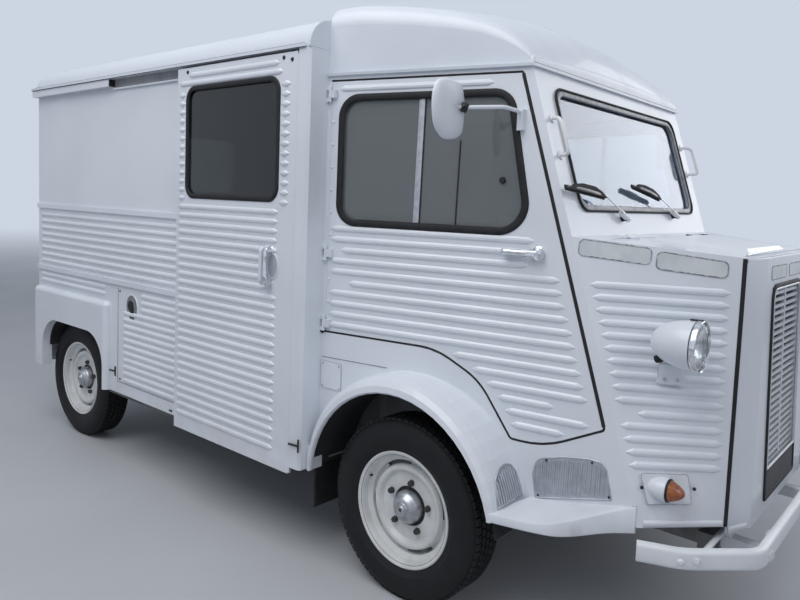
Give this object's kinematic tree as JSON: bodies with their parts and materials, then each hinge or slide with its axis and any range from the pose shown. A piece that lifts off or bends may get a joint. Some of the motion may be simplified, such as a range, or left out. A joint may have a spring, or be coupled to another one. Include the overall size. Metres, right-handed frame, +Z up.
{
  "type": "ice cream truck",
  "caption": "Light front-drive van of ribbed sheet panels converted for street vending, with serving hatch, sliding side door, hinged cab doors, tailgate, hood and steered wheels.",
  "frame": {"origin": "on the ground under the middle of the whole vehicle", "axes": "+X forward, +Y to the vehicle's left, +Z up"},
  "size_m": [4.12, 2.098, 2.316],
  "materials": {
    "body_white": "satin white paint",
    "bumper_white": "white paint, worn",
    "grille_grey": "light grey paint",
    "wheel_cream": "off-white gloss paint",
    "tyre": "matt black rubber",
    "glass": "clear",
    "chassis_grey": "black chassis paint",
    "engine_metal": "dull",
    "floor_grey": "grey paint",
    "seat_vinyl": "black vinyl",
    "dash_grey": "grey paint",
    "counter_steel": "brushed",
    "lamp_amber": "amber and red lenses",
    "fitting_white": "white enamel"
  },
  "bodies": {
    "body": {"side_wall_right": "body_white", "side_wall_left": "body_white", "rear_frame": "body_white", "load_roof": "body_white", "cab_shell": "body_white", "cab_roof": "body_white", "nose_sides": "body_white", "nose_front": "body_white", "front_fenders": "body_white", "headlamps": "body_white", "bumpers": "bumper_white", "grille": "grille_grey", "windscreen": "glass", "chassis_frame": "chassis_grey", "front_suspension": "chassis_grey", "rear_axle": "chassis_grey", "engine_block": "engine_metal", "floor_pan": "floor_grey", "seats": "seat_vinyl", "dashboard": "dash_grey", "serving_counter": "counter_steel", "signal_lamps": "lamp_amber", "cab_front_fittings": "fitting_white"},
    "knuckle_right": {"knuckle_right": "chassis_grey"},
    "knuckle_left": {"knuckle_left": "chassis_grey"},
    "wheel_front_right": {"rim_front_right": "wheel_cream", "tyre_front_right": "tyre"},
    "wheel_front_left": {"rim_front_left": "wheel_cream", "tyre_front_left": "tyre"},
    "wheel_rear_right": {"rim_rear_right": "wheel_cream", "tyre_rear_right": "tyre"},
    "wheel_rear_left": {"rim_rear_left": "wheel_cream", "tyre_rear_left": "tyre"},
    "cab_door_right": {"cab_door_right": "body_white", "cab_door_glass_right": "glass"},
    "cab_door_left": {"cab_door_left": "body_white", "cab_door_glass_left": "glass"},
    "sliding_door": {"sliding_door": "body_white", "sliding_door_glass": "glass"},
    "serving_hatch": {"serving_hatch": "body_white"},
    "tailgate": {"tailgate": "body_white", "tailgate_glass": "glass"},
    "rear_door_right": {"rear_door_right": "body_white"},
    "rear_door_left": {"rear_door_left": "body_white"},
    "hood": {"hood": "body_white"}
  },
  "joints": [
    {"name": "steer_right", "type": "hinge", "parent": "body", "child": "knuckle_right", "pos_m": [0.922, -0.712, 0.339], "axis": [0, 0, 1], "range_deg": [-30, 30]},
    {"name": "steer_left", "type": "hinge", "parent": "body", "child": "knuckle_left", "pos_m": [0.922, 0.712, 0.339], "axis": [0, 0, 1], "range_deg": [-30, 30]},
    {"name": "roll_front_right", "type": "hinge", "parent": "knuckle_right", "child": "wheel_front_right", "pos_m": [0.922, -0.814, 0.339], "axis": [0, 1, 0], "continuous": true},
    {"name": "roll_front_left", "type": "hinge", "parent": "knuckle_left", "child": "wheel_front_left", "pos_m": [0.922, 0.814, 0.339], "axis": [0, 1, 0], "continuous": true},
    {"name": "roll_rear_right", "type": "hinge", "parent": "body", "child": "wheel_rear_right", "pos_m": [-1.605, -0.814, 0.339], "axis": [0, 1, 0], "continuous": true},
    {"name": "roll_rear_left", "type": "hinge", "parent": "body", "child": "wheel_rear_left", "pos_m": [-1.605, 0.814, 0.339], "axis": [0, 1, 0], "continuous": true},
    {"name": "cab_door_right_swing", "type": "hinge", "parent": "body", "child": "cab_door_right", "pos_m": [0.486, -0.886, 1.4], "axis": [0, 0, -1], "range_deg": [0, 70]},
    {"name": "cab_door_left_swing", "type": "hinge", "parent": "body", "child": "cab_door_left", "pos_m": [0.486, 0.886, 1.4], "axis": [0, 0, 1], "range_deg": [0, 70]},
    {"name": "sliding_door_slide", "type": "slide", "parent": "body", "child": "sliding_door", "axis": [-1, 0, 0], "range_m": [0, 0.64]},
    {"name": "serving_hatch_lift", "type": "hinge", "parent": "body", "child": "serving_hatch", "pos_m": [-0.798, 0.9815, 1.979], "axis": [1, 0, 0], "range_deg": [0, 85]},
    {"name": "tailgate_lift", "type": "hinge", "parent": "body", "child": "tailgate", "pos_m": [-2.034, 0, 1.992], "axis": [0, 1, 0], "range_deg": [0, 85]},
    {"name": "rear_door_right_swing", "type": "hinge", "parent": "body", "child": "rear_door_right", "pos_m": [-2.034, -0.717, 0.9], "axis": [0, 0, 1], "range_deg": [0, 100]},
    {"name": "rear_door_left_swing", "type": "hinge", "parent": "body", "child": "rear_door_left", "pos_m": [-2.034, 0.717, 0.9], "axis": [0, 0, -1], "range_deg": [0, 100]},
    {"name": "hood_lift", "type": "hinge", "parent": "body", "child": "hood", "pos_m": [1.525, 0, 1.379], "axis": [0, -1, 0], "range_deg": [0, 55]}
  ],
  "couplings": [
    {"joint": "steer_left", "follows": "steer_right", "ratio": 1}
  ]
}
